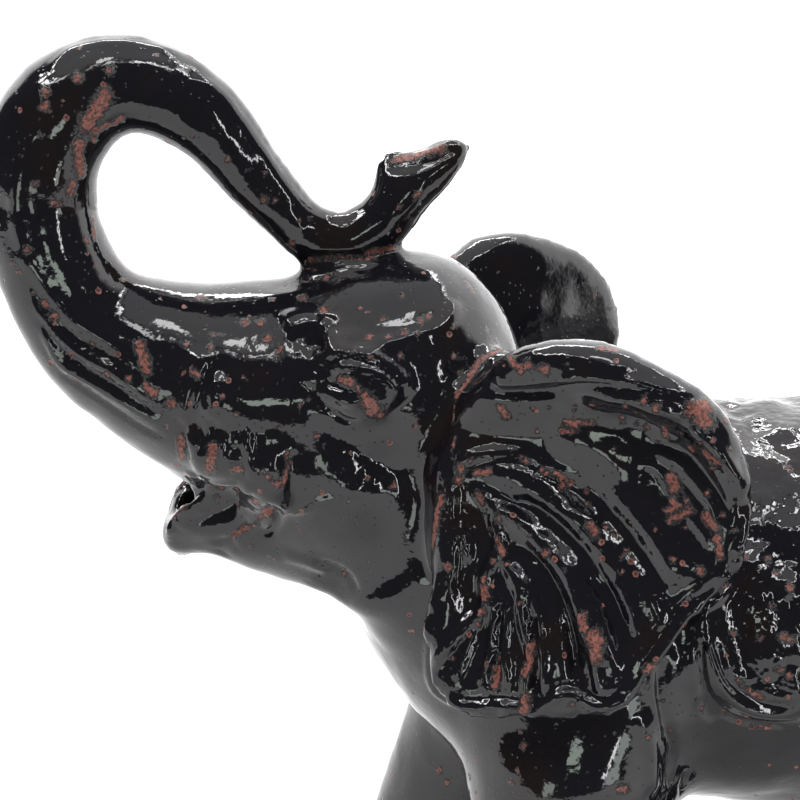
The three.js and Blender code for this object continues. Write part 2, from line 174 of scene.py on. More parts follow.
# half the width, the height (down where it is negative) and the pixels it passes through
earStrokes = {
    "pleatA": (2.6, 1.5, [(561, 508), (589, 526), (618, 559), (641, 587), (656, 610), (663, 634)]),
    "pleatAcleft": (0.8, -0.7, [(596, 527), (612, 549), (624, 563), (642, 590)]),
    "pleatB": (2.2, 1.5, [(471, 487), (491, 502), (506, 511), (528, 524), (549, 542), (566, 558), (580, 575),
                          (591, 597), (602, 625), (611, 654), (619, 680)]),
    "pleatC": (1.6, 1.7, [(482, 496), (495, 511), (511, 521), (533, 540), (548, 557), (565, 574), (577, 599),
                          (586, 634), (597, 655), (599, 679), (604, 700)]),
    "pleatCvalley": (1.5, -1.8, [(520, 545), (541, 566), (556, 590), (566, 615), (574, 645), (580, 685)]),
    "pleatD": (1.5, 2.0, [(490, 512), (500, 538), (506, 558), (510, 570), (520, 594), (522, 608), (525, 626),
                          (531, 648), (532, 666), (527, 680), (526, 708)]),
    "pleatDgap": (1.2, -1.5, [(533, 612), (537, 640), (538, 668), (535, 700)]),
    "pleatE": (1.4, 1.8, [(515, 566), (525, 583), (533, 597), (541, 621), (543, 642), (546, 666), (545, 702)]),
    "pleatF": (1.6, 2.0, [(497, 540), (494, 562), (486, 578), (486, 599), (484, 614), (471, 624), (461, 635),
                          (449, 648), (433, 666)]),
    "pleatFinner": (1.2, 1.6, [(484, 610), (481, 623), (474, 638), (467, 654), (456, 682)]),
    "pleatG": (1.2, 1.7, [(488, 600), (496, 613), (491, 655), (481, 690)]),
    "pleatGgap": (1.1, -1.4, [(503, 600), (500, 640), (494, 690)]),
    "pleatH": (1.2, 1.7, [(507, 600), (507, 627), (505, 656), (509, 692)]),
    "hollowBesideB": (2.2, -1.2, [(520, 500), (552, 520), (580, 548), (600, 575), (618, 610), (630, 650)]),
    "hollowBesideA": (2.6, -1.1, [(560, 480), (600, 505), (640, 548), (668, 590)]),
    "arch": (1.7, 0.8, [(456, 462), (478, 456), (506, 454), (528, 457), (549, 468), (571, 476), (588, 493),
                        (604, 522)]),
    "archUnder": (1.2, -0.8, [(462, 474), (485, 466), (508, 463), (530, 468), (552, 480), (572, 494)]),
    "shelfCrease": (1.3, -1.4, [(497, 391), (530, 392), (565, 389), (600, 388), (640, 392), (672, 402),
                                (700, 420)]),
    "shelfEdge": (1.2, 0.9, [(495, 383), (520, 385), (560, 382), (600, 381), (640, 386), (668, 394)]),
    "lobeFold": (1.8, 1.2, [(690, 432), (709, 444), (727, 464), (742, 484), (745, 505)]),
    "lobeFoldB": (1.5, 1.0, [(657, 452), (680, 467), (700, 487), (716, 508), (724, 530)]),
    "lobeFoldC": (1.4, 0.9, [(636, 462), (657, 470), (676, 492), (692, 517), (706, 534), (712, 554)]),
    "lobeGroove": (1.5, -0.9, [(650, 445), (684, 455), (706, 476), (722, 500), (730, 525)]),
    "lobeGrooveB": (1.4, -0.8, [(640, 480), (664, 500), (682, 528), (697, 556)]),
    "frontRollA": (1.2, 1.7, [(449, 478), (451, 490), (453, 516), (452, 523), (455, 541), (452, 572),
                              (447, 600)]),
    "frontRollB": (1.2, 1.6, [(458, 484), (454, 514), (458, 520), (463, 536), (469, 552), (468, 564)]),
    "frontRollGap": (1.0, -1.2, [(455, 500), (457, 530), (461, 560), (456, 590)]),
    "frontRim": (1.2, 0.9, [(446, 496), (446, 545), (439, 586), (431, 632), (429, 666), (433, 689),
                            (446, 700)]),
    "lowerRim": (1.3, 1.1, [(433, 689), (446, 701), (468, 709), (497, 708), (520, 712), (535, 716), (546, 706),
                            (560, 698), (573, 696), (584, 702), (598, 709), (620, 707), (634, 697)]),
    "lowerRimGap": (1.1, -1.0, [(448, 692), (470, 701), (497, 700), (520, 702), (537, 704), (550, 694),
                                (566, 687), (584, 693), (600, 700), (618, 697), (628, 686)]),
    "backRim": (1.3, 1.0, [(634, 697), (645, 678), (667, 649), (688, 619), (708, 609), (732, 588), (737, 566),
                           (744, 540), (750, 505), (744, 462)]),
    "backRimGap": (1.1, -0.8, [(640, 672), (660, 643), (684, 610), (705, 598), (722, 583), (729, 560),
                               (736, 536)]),
}
# Broad folds fall away gently below their line and steeply above it.
earFolds = {
    "shelf": (7.4, 2.3, [(446, 396), (480, 399), (520, 400), (560, 398), (610, 398), (650, 404), (684, 418)]),
    "wedge": (8.0, 2.2, [(548, 434), (580, 442), (607, 456), (630, 478), (650, 512), (668, 548), (690, 588)]),
    "frontFold": (5.0, 1.6, [(452, 520), (457, 556), (451, 590), (440, 622), (432, 650)]),
    "pleatBFold": (4.0, 0.7, [(500, 512), (528, 528), (552, 548), (572, 570), (588, 600), (600, 635),
                              (608, 668)]),
}
headStrokes = {
    "trunkEdge": (2.2, 0.8, [(35, 120), (25, 150), (17, 182), (15, 214), (24, 249), (35, 279), (62, 312),
                             (88, 331), (123, 349), (142, 362)]),
    "trunkEdgeUnder": (2.0, -0.7, [(27, 270), (42, 300), (62, 325), (88, 344), (122, 362)]),
    "wrinkleA": (1.3, 0.9, [(35, 308), (54, 335), (80, 356), (115, 375), (150, 402), (160, 407)]),
    "wrinkleB": (1.2, 0.8, [(40, 330), (62, 367), (107, 394), (145, 418), (160, 425)]),
    "wrinkleGapA": (1.0, -0.9, [(38, 318), (60, 348), (92, 374), (130, 397), (152, 411)]),
    "wrinkleGapB": (1.0, -0.8, [(50, 322), (76, 342), (110, 361), (140, 379)]),
    "wrinkleGapC": (1.0, -0.7, [(60, 375), (104, 404), (140, 428), (164, 440)]),
    "trunkTopLine": (1.8, 0.5, [(48, 72), (75, 51), (107, 45), (150, 48), (182, 54)]),
    "trunkTopCrest": (1.8, 0.6, [(193, 75), (222, 99), (260, 150), (289, 193), (319, 222)]),
    "cheekRidge": (3.0, 1.0, [(206, 352), (198, 372), (190, 396), (184, 425)]),
    "cheekCleft": (1.4, -1.1, [(212, 360), (206, 380), (197, 400), (191, 430)]),
    "cheekCrest": (1.6, 0.9, [(222, 378), (213, 391), (214, 405), (206, 419)]),
    "lipFoldA": (0.9, -0.9, [(184, 425), (182, 440), (186, 455)]),
    "lipFoldB": (0.9, -1.0, [(199, 424), (203, 440), (201, 454)]),
    "lipFoldC": (0.9, -1.0, [(214, 422), (215, 440), (212, 452)]),
    "lipFoldD": (0.9, -1.0, [(219, 427), (229, 446), (231, 455)]),
    "lipFoldE": (0.9, -1.0, [(239, 428), (239, 444), (236, 454)]),
    "lipFoldF": (1.1, -1.0, [(257, 430), (256, 446), (262, 458)]),
    "upperLip": (1.4, 0.9, [(186, 474), (201, 478), (226, 479), (240, 478), (256, 472)]),
    "mouthLine": (1.0, -1.2, [(212, 485), (226, 486), (244, 484), (258, 477)]),
    "mouthCorner": (1.2, -1.5, [(262, 480), (272, 487), (282, 502), (283, 517), (274, 530), (262, 535)]),
    "mouthCornerLip": (1.8, 0.9, [(258, 490), (268, 500), (272, 515), (262, 526)]),
    "lipNearRim": (1.2, 1.3, [(219, 486), (207, 494), (199, 502), (179, 518), (170, 531), (168, 542)]),
    "lipHollow": (1.4, -0.7, [(212, 489), (198, 497), (188, 506), (178, 517), (172, 524)]),
    "lipUnderRim": (1.1, -0.8, [(246, 496), (227, 508), (207, 518), (188, 529)]),
    "lipUnderRoll": (1.6, 0.4, [(250, 508), (232, 522), (212, 531), (192, 540)]),
    "lipUnderFold": (1.0, -0.9, [(252, 518), (240, 529), (228, 540), (212, 545)]),
    "chinDip": (2.4, -0.7, [(220, 557), (226, 548), (238, 545)]),
    "brow": (2.4, 1.2, [(330, 318), (329, 337), (334, 348), (343, 356)]),
    "browCrest": (2.4, 1.0, [(353, 360), (366, 355), (386, 345), (403, 341), (418, 337), (440, 329), (452, 316),
                             (455, 300)]),
    "browHollow": (2.6, -1.2, [(302, 330), (309, 342), (318, 356)]),
    "templeLineA": (0.8, -0.6, [(306, 322), (312, 334), (319, 348), (327, 358)]),
    "templeLineB": (0.8, -0.6, [(297, 332), (303, 346), (312, 358)]),
    "templeLineC": (0.8, -0.5, [(291, 340), (294, 352), (300, 362)]),
    "lidBall": (4.8, 1.5, [(335, 375), (352, 371), (372, 376), (390, 388), (402, 405)]),
    "upperLid": (1.1, 0.9, [(331, 373), (346, 369), (372, 375), (387, 387), (401, 402)]),
    "lidCrease": (0.9, -1.0, [(328, 366), (346, 361), (372, 366), (392, 379), (406, 396)]),
    "eyeSlit": (0.9, -1.4, [(327, 384), (336, 387), (348, 392), (360, 396)]),
    "lowerLid": (1.1, 0.8, [(324, 392), (336, 400), (350, 405), (366, 404)]),
    "lidPouch": (1.0, -1.0, [(303, 383), (310, 394), (318, 402), (330, 411), (343, 421), (356, 424)]),
    "innerCorner": (1.4, 0.8, [(304, 386), (315, 378), (326, 381)]),
    "seam": (1.1, -1.2, [(300, 262), (330, 260), (372, 257), (392, 252)]),
    "throatFold": (2.0, 0.6, [(283, 555), (305, 563), (330, 572)]),
    "throatCleft": (1.3, -0.9, [(313, 563), (330, 566), (348, 576), (360, 590)]),
    "tipLip": (1.0, 0.7, [(384, 156), (402, 161), (424, 160), (446, 150)]),
    "tipUnder": (1.3, -0.7, [(386, 168), (404, 172), (426, 169), (446, 158)]),
    "crackA": (0.45, -0.35, [(283, 289), (293, 283), (318, 283), (322, 275), (335, 274)]),
    "crackB": (0.45, -0.35, [(335, 274), (341, 280), (366, 278), (369, 272)]),
    "crackC": (0.45, -0.35, [(300, 272), (312, 270), (320, 277)]),
    "crackD": (0.45, -0.35, [(350, 270), (362, 271), (374, 268)]),
    "cheekRoll": (12.5, 5.5, [(240, 484), (280, 488), (322, 492), (352, 484), (374, 462)]),
    "muzzleRoll": (8.0, 2.6, [(190, 462), (205, 466), (235, 470), (265, 470), (290, 470)]),
}
headFolds = {
    "lidFold": (4.6, 1.3, [(316, 366), (332, 360), (350, 358), (372, 362), (392, 374), (404, 392)]),
    "underJaw": (6.5, 1.8, [(312, 578), (345, 594), (380, 600), (412, 590), (434, 572)]),
    "hollowFold": (6.0, 1.8, [(284, 330), (298, 322), (312, 324), (324, 336)]),
}
bodyStrokes = {
    "clothRim": (1.5, 0.9, [(704, 632), (706, 645), (713, 666), (722, 687), (738, 705), (759, 716),
                            (800, 721)]),
    "clothCrease": (1.2, -1.1, [(699, 640), (703, 683), (712, 700), (727, 716), (753, 724), (790, 728)]),
    "clothInner": (1.3, -0.8, [(714, 640), (721, 664), (732, 684), (748, 699), (768, 707), (800, 711)]),
    "shoulderFoldA": (1.3, -1.5, [(663, 662), (662, 689), (664, 708), (669, 734), (674, 753), (669, 791)]),
    "shoulderFoldB": (1.2, -1.3, [(703, 636), (704, 683), (708, 708), (716, 724)]),
    "shoulderFoldC": (0.9, -0.7, [(676, 650), (681, 655), (687, 661)]),
    "shoulderRoll": (2.4, 1.0, [(640, 716), (648, 735), (653, 760), (653, 795)]),
    "shoulderFoldD": (1.0, -0.8, [(690, 772), (685, 785), (683, 798)]),
    "backFold": (2.6, 1.2, [(737, 560), (757, 573), (779, 584), (799, 592)]),
}
# Soft swellings: a middle in pixels, a radius and a height.
swellings = [
    (318, 500, 15.0, 3.0), (375, 610, 11.0, 2.0), (186, 500, 4.0, 1.8),
    (545, 830, 24.0, 4.5), (740, 780, 12.0, 1.5),
    (192, 443, 2.2, 0.8), (222, 443, 2.2, 0.8), (246, 443, 2.6, 1.0), (270, 457, 2.4, 0.9),
    (225, 400, 6.0, 0.9), (322, 412, 3.2, 0.8), (352, 384, 3.6, 0.8), (640, 425, 6.0, -0.9),
    (555, 425, 5.0, -0.6), (470, 600, 4.0, -0.6), (310, 340, 4.0, -0.7),
]
# Where the glaze is worn through to the clay: a radius in millimetres and the pixels its middle passes through.
# The ears' marks stand apart, because the two ears stand at two heights.
earWear = [
    (1.8, [(504, 404), (508, 416)]), (1.6, [(510, 358), (522, 373)]), (2.4, [(528, 367)]), (2.4, [(544, 372)]),
    (1.0, [(569, 367)]), (1.4, [(600, 350), (619, 354)]), (1.0, [(524, 414)]), (1.0, [(535, 408)]),
    (1.2, [(552, 406)]), (1.2, [(579, 402)]), (1.1, [(577, 409)]), (1.3, [(568, 422), (596, 423)]),
    (1.5, [(564, 431), (578, 429)]), (1.2, [(538, 432)]), (1.4, [(523, 460), (528, 464)]),
    (1.5, [(543, 472), (547, 475)]), (1.4, [(557, 475), (569, 482)]), (1.9, [(564, 488)]), (1.5, [(573, 486)]),
    (2.2, [(461, 470)]), (1.2, [(472, 462)]), (1.6, [(478, 475), (490, 473)]), (1.4, [(587, 494)]),
    (1.1, [(589, 506)]), (2.2, [(591, 529), (596, 536)]), (1.4, [(478, 494), (484, 504)]), (1.0, [(485, 515)]),
    (1.4, [(499, 522)]), (1.0, [(499, 514)]), (1.2, [(491, 530)]), (1.5, [(499, 541), (505, 555)]),
    (1.3, [(495, 563)]), (1.3, [(509, 566)]), (1.0, [(531, 538)]), (1.0, [(521, 529)]), (1.9, [(547, 556)]),
    (1.1, [(565, 573)]), (1.3, [(528, 582)]), (1.3, [(486, 580)]), (1.8, [(486, 588), (488, 599)]),
    (1.2, [(522, 605)]), (1.9, [(485, 613)]), (1.2, [(481, 626)]), (2.0, [(584, 619), (587, 630)]),
    (2.7, [(595, 636), (599, 644), (598, 660)]), (1.9, [(532, 647), (531, 666), (526, 676)]),
    (2.1, [(527, 700), (525, 713)]), (2.0, [(497, 672), (495, 688)]), (1.7, [(499, 660)]), (1.6, [(573, 707)]),
    (1.1, [(436, 647)]), (1.2, [(453, 660)]), (1.3, [(462, 555)]), (1.0, [(465, 505)]),
    (3.4, [(694, 412), (708, 408), (702, 420), (710, 424)]), (1.4, [(728, 422)]), (1.2, [(715, 443)]),
    (1.5, [(665, 430), (667, 438)]), (1.4, [(682, 436)]), (1.3, [(702, 443)]), (1.9, [(691, 451)]),
    (2.2, [(707, 456), (719, 463)]), (1.3, [(714, 471)]), (2.6, [(673, 480), (677, 490)]), (1.4, [(625, 404)]),
    (1.2, [(630, 401)]), (1.6, [(646, 399)]), (1.5, [(659, 406)]), (1.1, [(636, 413)]), (1.6, [(645, 418)]),
    (1.3, [(624, 419)]), (1.2, [(624, 425)]), (1.2, [(637, 427)]), (1.5, [(647, 431)]), (1.0, [(617, 450)]),
    (1.0, [(658, 446)]), (1.0, [(732, 451)]), (1.8, [(674, 503)]), (1.2, [(668, 512), (682, 507)]),
    (1.8, [(692, 512), (674, 522)]), (1.4, [(689, 502)]), (1.0, [(687, 529)]), (2.1, [(708, 518), (718, 529)]),
    (2.3, [(720, 541)]), (1.5, [(721, 551), (722, 560)]), (1.1, [(725, 517)]), (1.2, [(736, 533)]),
    (1.4, [(710, 495)]), (1.5, [(676, 561)]), (1.0, [(658, 531)]), (1.1, [(622, 561)]), (1.3, [(628, 554)]),
    (1.0, [(616, 537)]), (1.6, [(746, 559)]), (1.0, [(694, 630)]), (1.6, [(650, 670)]),
]
headWear = [
    (2.2, [(78, 80)]), (2.0, [(110, 72)]), (1.0, [(107, 88)]), (3.4, [(104, 99), (94, 115), (86, 126)]),
    (1.5, [(92, 134), (107, 127), (115, 125)]), (1.6, [(94, 142)]), (2.5, [(79, 145), (78, 158), (80, 174)]),
    (2.1, [(71, 186), (70, 194)]), (1.5, [(52, 205), (60, 205)]), (1.6, [(35, 185)]), (1.2, [(40, 137)]),
    (2.3, [(46, 94)]), (2.4, [(44, 108)]), (1.4, [(92, 220), (94, 240)]), (1.6, [(86, 241)]), (1.0, [(95, 268)]),
    (1.2, [(122, 281)]), (2.0, [(201, 299)]), (1.6, [(228, 161)]), (1.8, [(264, 201)]), (1.0, [(249, 171)]),
    (1.0, [(265, 174)]), (1.0, [(300, 222)]), (1.0, [(311, 220)]), (1.0, [(185, 139)]), (1.0, [(192, 139)]),
    (1.4, [(13, 265)]), (1.4, [(19, 273)]), (1.2, [(33, 295)]), (2.0, [(43, 305)]), (2.0, [(54, 319)]),
    (1.4, [(92, 346)]), (1.6, [(129, 380)]), (1.6, [(145, 386), (153, 396)]), (2.3, [(171, 405)]),
    (2.3, [(139, 346), (143, 358), (146, 372)]), (2.3, [(395, 163), (410, 163), (430, 159)]), (1.6, [(415, 198)]),
    (1.2, [(399, 209)]), (1.1, [(308, 262), (340, 260), (375, 259)]), (1.6, [(292, 245)]),
    (1.4, [(370, 253), (395, 249)]), (1.9, [(180, 440), (181, 460)]), (2.1, [(215, 447), (212, 465)]),
    (2.4, [(237, 465)]), (1.2, [(263, 462), (279, 469), (288, 460), (286, 451)]), (1.2, [(312, 483)]),
    (1.4, [(149, 390), (157, 393)]), (1.6, [(193, 373), (199, 378)]), (1.6, [(213, 337)]), (1.6, [(210, 350)]),
    (1.2, [(224, 337)]), (2.0, [(245, 324)]), (2.0, [(261, 324)]), (2.2, [(268, 340)]), (1.4, [(281, 349)]),
    (1.2, [(276, 360)]), (1.4, [(187, 346)]), (1.2, [(282, 328)]), (1.0, [(243, 379)]), (1.2, [(237, 416)]),
    (1.2, [(300, 407)]), (1.0, [(308, 400)]), (1.5, [(317, 437)]), (1.0, [(323, 445)]), (2.0, [(302, 299)]),
    (2.5, [(324, 312)]), (1.4, [(272, 301)]), (1.7, [(341, 381), (352, 386)]), (1.3, [(358, 390), (364, 396)]),
    (3.2, [(368, 403), (372, 411), (380, 415)]), (1.3, [(361, 310)]), (1.3, [(368, 314)]), (1.6, [(384, 321)]),
    (1.4, [(402, 298)]), (1.7, [(422, 323)]), (1.5, [(429, 318)]), (1.8, [(369, 339)]), (1.8, [(405, 335)]),
    (1.3, [(418, 336)]), (1.4, [(389, 340)]), (1.2, [(369, 360)]), (1.3, [(487, 332)]), (1.0, [(444, 305)]),
    (1.0, [(453, 329)]), (1.2, [(317, 346)]), (1.3, [(401, 358)]), (1.3, [(461, 375)]), (1.2, [(454, 358)]),
    (1.2, [(354, 354)]), (1.9, [(500, 353), (484, 361), (473, 374), (468, 387), (461, 398)]),
    (1.2, [(467, 284), (474, 294)]), (1.4, [(459, 395)]), (1.1, [(422, 411)]), (0.8, [(458, 408), (455, 425)]),
    (0.8, [(456, 438), (453, 450), (455, 460)]), (1.6, [(216, 498)]), (1.5, [(221, 489)]), (1.5, [(238, 490)]),
    (2.0, [(257, 482)]), (2.5, [(268, 487), (272, 499), (271, 508)]), (1.8, [(263, 514)]), (1.2, [(260, 524)]),
    (1.8, [(239, 534), (249, 528)]), (1.4, [(233, 540)]), (1.1, [(251, 547)]), (1.0, [(270, 556)]),
    (1.0, [(311, 552)]), (1.0, [(194, 503), (176, 520)]), (1.4, [(345, 576)]),
    (2.0, [(442, 500), (437, 515), (436, 530), (433, 546)]),
    (0.6, [(283, 289), (293, 283), (318, 283), (335, 274)]),
    (0.6, [(335, 274), (341, 280), (366, 278), (369, 272)]), (0.6, [(300, 272), (312, 270), (320, 277)]),
]
bodyWear = [
    (1.0, [(523, 733)]), (1.4, [(475, 778)]), (1.2, [(519, 780)]), (2.0, [(439, 772)]), (1.6, [(447, 784)]),
    (1.5, [(619, 789)]), (1.6, [(773, 608)]), (2.0, [(784, 639), (793, 642)]), (1.6, [(779, 671), (791, 678)]),
    (1.5, [(752, 693), (763, 700)]), (1.3, [(740, 682), (745, 688)]), (1.1, [(751, 729), (772, 730)]),
    (1.5, [(646, 672), (653, 667)]), (1.1, [(666, 705)]), (1.2, [(673, 734)]), (1.3, [(648, 738)]),
    (2.0, [(624, 789)]), (1.2, [(709, 734)]), (1.3, [(704, 712)]), (1.3, [(725, 715)]), (1.3, [(724, 405)]),
    (1.8, [(748, 422)]), (1.8, [(770, 560)]), (2.0, [(790, 590)]), (1.6, [(762, 640)]), (1.8, [(790, 470)]),
]


def curveThrough(points):
    points = [np.array(p, float) for p in points]
    if len(points) == 1:
        return points
    padded = [2 * points[0] - points[1], *points, 2 * points[-1] - points[-2]]
    line = []
    for a, b, c, d in zip(padded, padded[1:], padded[2:], padded[3:]):
        steps = max(1, int(np.linalg.norm(c - b) / carving["step"]))
        for i in range(steps):
            t = i / steps
            line.append(0.5 * (2 * b + (c - a) * t + (2 * a - 5 * b + 4 * c - d) * t ** 2
                               + (3 * b - a - 3 * c + d) * t ** 3))
    line.append(points[-1])
    return line


clayTree = BVHTree.FromObject(elephant, bpy.context.evaluated_depsgraph_get())
focal = photoView["picture"] * photoView["lens"] / photoView["sensor"]


def seenAt(pixel):
    half = photoView["picture"] / 2
    ray = look + (pixel[0] - half) / focal * right + (half - pixel[1]) / focal * up
    place, normal, _, _ = clayTree.ray_cast(Vector(eye), Vector(ray).normalized())
    return place, normal


def otherSide(place, rise):
    place, normal, _, _ = clayTree.find_nearest(Vector((place.x, -place.y, place.z + rise)))
    return place, normal


def laid(pixels, far, rise):
    found = [seenAt(p) for p in pixels]
    found = [hit for hit in found if hit[0] is not None]
    if far:
        found = [otherSide(place, rise) for place, _ in found]
    line, facing = ([hit[k] for hit in found] for k in (0, 1))
    return np.array(line).reshape(-1, 3), np.array(facing).reshape(-1, 3)


# The faces near a line or a mark are split once, the plain ones are not.
marked = []
for strokes, rise in ((earStrokes, carving["earRise"]), (earFolds, carving["earRise"]), (headStrokes, 0),
                      (headFolds, 0), (bodyStrokes, 0)):
    marked += [(pixels, rise) for _, _, pixels in strokes.values()]
for marks, rise in ((earWear, carving["earRise"]), (headWear, 0), (bodyWear, 0)):
    marked += [(pixels, rise) for _, pixels in marks]
points = [place for pixels, rise in marked for far in (False, True)
          for place in laid(curveThrough(pixels), far, rise)[0]]
nearby = KDTree(len(points))
for i, place in enumerate(points):
    nearby.insert(place, i)
nearby.balance()
bpy.ops.object.mode_set(mode="EDIT")
bpy.ops.mesh.select_all(action="DESELECT")
bpy.ops.object.mode_set(mode="OBJECT")
for face in elephant.data.polygons:
    face.select = nearby.find(face.center)[2] < clayBody["fineNear"]
bpy.ops.object.mode_set(mode="EDIT")
bpy.ops.mesh.select_mode(type="FACE")
bpy.ops.mesh.subdivide(number_cuts=1)
bpy.ops.object.mode_set(mode="OBJECT")
eased(elephant, clayBody["roundsAfter"])
clayTree = BVHTree.FromObject(elephant, bpy.context.evaluated_depsgraph_get())
print("fine clay", len(elephant.data.vertices), "vertices")

places = placesOf(elephant)
normals = normalsOf(elephant)
lift = np.zeros(len(places))


def nearLine(line, facing, reach):
    # the vertices round a line, how far each is from it, and how far along it lies
    low, high = line.min(0) - reach, line.max(0) + reach
    inside = np.flatnonzero(np.all((places > low) & (places < high), axis=1))
    gaps = np.linalg.norm(places[inside][:, None] - line[None], axis=2)
    nearest = gaps.argmin(axis=1)
    gap = gaps[np.arange(len(inside)), nearest]
    alike = np.einsum("ij,ij->i", normals[inside], facing[nearest]) > carving["facing"]
    kept = alike & (gap < reach)
    return inside[kept], gap[kept], nearest[kept] / max(len(line) - 1, 1)


def bell(share):
    return 0.5 + 0.5 * np.cos(np.pi * np.clip(share, 0, 1))


def carve(strokes, rise, steep=None):
    for wide, high, pixels in strokes.values():
        for far in (False, True):
            line, facing = laid(curveThrough(pixels), far, rise)
            if len(line) < 2:
                continue
            reach = carving["spread"] * wide * carving["mm"]
            rows, gap, along = nearLine(line, facing, reach)
            fade = np.clip(np.minimum(along, 1 - along) / carving["taper"], 0, 1)
            if steep is None:
                fade = np.sqrt(fade)
            else:
                nearest = np.round(along * (len(line) - 1)).astype(int)
                over = np.clip((places[rows, 2] - line[nearest, 2]) / np.maximum(gap, 1e-6), 0, 1)
                gap = gap * (1 + steep * over)
                fade = fade * (2 - fade)
            lift[rows] += high * carving["mm"] * bell(gap / reach) * fade


carve(earFolds, carving["earRise"], carving["steep"])
carve(headFolds, 0, carving["steep"])
carve(earStrokes, carving["earRise"])
carve(headStrokes, 0)
carve(bodyStrokes, 0)
print("carved", len(earStrokes) + len(headStrokes) + len(bodyStrokes), "lines and",
      len(earFolds) + len(headFolds), "folds on each side")

for x, y, radius, high in swellings:
    for far in (False, True):
        rise = carving["earRise"] if x > carving["earsFrom"] else 0
        line, facing = laid([(x, y)], far, rise)
        if not len(line):
            continue
        reach = carving["spread"] * radius * carving["mm"]
        rows, gap, _ = nearLine(line, facing, reach)
        lift[rows] += high * carving["mm"] * bell(gap / reach)

wear = np.zeros(len(places))
wearing = {
    "seed": 11,
    "stray": 0.0035,       # how far a mark strays on the far side
    "kept": 0.8,           # share of the marks found again on the far side
    "scattered": 200,      # marks strewn over the whole figure
    "sizes": (0.7, 2.0),
    "spread": 1.5,         # how far a mark fades out, in its radii
    "shows": 0.4,          # from this much wear on, the clay shows in places
}
luck = random.Random(wearing["seed"])


def rub(line, facing, radius):
    reach = wearing["spread"] * radius * carving["mm"]
    rows, gap, _ = nearLine(line, facing, reach)
    wear[rows] = np.maximum(wear[rows], 1 - gap / reach)


for marks, rise in ((earWear, carving["earRise"]), (headWear, 0), (bodyWear, 0)):
    for radius, pixels in marks:
        line, facing = laid(curveThrough(pixels), False, rise)
        if len(line):
            rub(line, facing, radius)
            if luck.random() < wearing["kept"]:
                stray = Vector([luck.uniform(-1, 1) * wearing["stray"] for _ in range(3)])
                moved = [clayTree.find_nearest(Vector((x, -y, z + rise)) + stray) for x, y, z in line]
                rub(np.array([hit[0] for hit in moved]), np.array([hit[1] for hit in moved]), radius)
for _ in range(wearing["scattered"]):
    row = luck.randrange(len(places))
    rub(places[row:row + 1], normals[row:row + 1], luck.uniform(*wearing["sizes"]))
print("worn", int((wear > wearing["shows"]).sum()), "places")

# The hand-smoothed surface is never quite even, and the saddle cloth is coarsely textured.
surface = {
    # wavelength, height and where in the noise it starts
    "long": (0.017, 0.00055, (3.1, 0, 0)),
    "short": (0.0062, 0.00022, (0, 7.7, 0)),
    "clothLumps": (0.0070, 0.0012, (0, 0, 5.3)),    # the coarse embossing of the saddle cloth
    "clothGrit": (0.0030, 0.0005, (1.7, 0, 0)),
}


def unevenness(name):
    wavelength, high, begin = surface[name]
    return high * np.array([noise.noise(Vector(p) / wavelength + Vector(begin)) for p in places])


lift += unevenness("long") + unevenness("short")

saddle = {
    "front": -0.0101, "back": 0.1138, "hem": 0.1564, "corner": 0.0215,   # the outline of the solid's cloth
    "inset": 0.0055,    # from the outline to where the embossing starts
    "edge": 0.003,      # the width over which it comes in
}
across = np.abs(places[:, 0] - (saddle["front"] + saddle["back"]) / 2) - (saddle["back"] - saddle["front"]) / 2
across += saddle["corner"]
down = saddle["hem"] - places[:, 2] + saddle["corner"]
outside = np.hypot(np.maximum(across, 0), np.maximum(down, 0))
inside = saddle["corner"] - outside - np.minimum(np.maximum(across, down), 0)
onCloth = np.clip((inside - saddle["inset"]) / saddle["edge"], 0, 1)
lift += onCloth * (unevenness("clothLumps") + unevenness("clothGrit"))
print("saddle cloth", int((onCloth > 0.5).sum()), "places")

places = places + normals * lift[:, None]
# The trunk's tip is drawn out to its point.
trunkTip = {"pixel": (441, 160), "reach": 0.017, "right": 0.0032, "up": 0.0024}
tipAt = np.array(seenAt(trunkTip["pixel"])[0])
drawn = bell(np.linalg.norm(places - tipAt, axis=1) / trunkTip["reach"])
places += drawn[:, None] * (trunkTip["right"] * right + trunkTip["up"] * up)
onFloor = placesOf(elephant)[:, 2] < clayBody["sole"]
places[onFloor, 2] = 0.0
low, high = np.array(cadBox[0]), np.array(cadBox[1])
places = (places - places.min(0)) / (places.max(0) - places.min(0)) * (high - low) + low
putPlaces(elephant, places)
for face in elephant.data.polygons:
    face.use_smooth = True


def keep(name, values):
    layer = elephant.data.attributes.new(name, "FLOAT", "POINT")
    layer.data.foreach_set("value", values.astype(np.float32))


keep("wear", wear)
keep("saddle", onCloth)
elephant.data.update()
print("triangles", sum(len(face.vertices) - 2 for face in elephant.data.polygons))

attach(elephant, "root")
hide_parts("elephant")


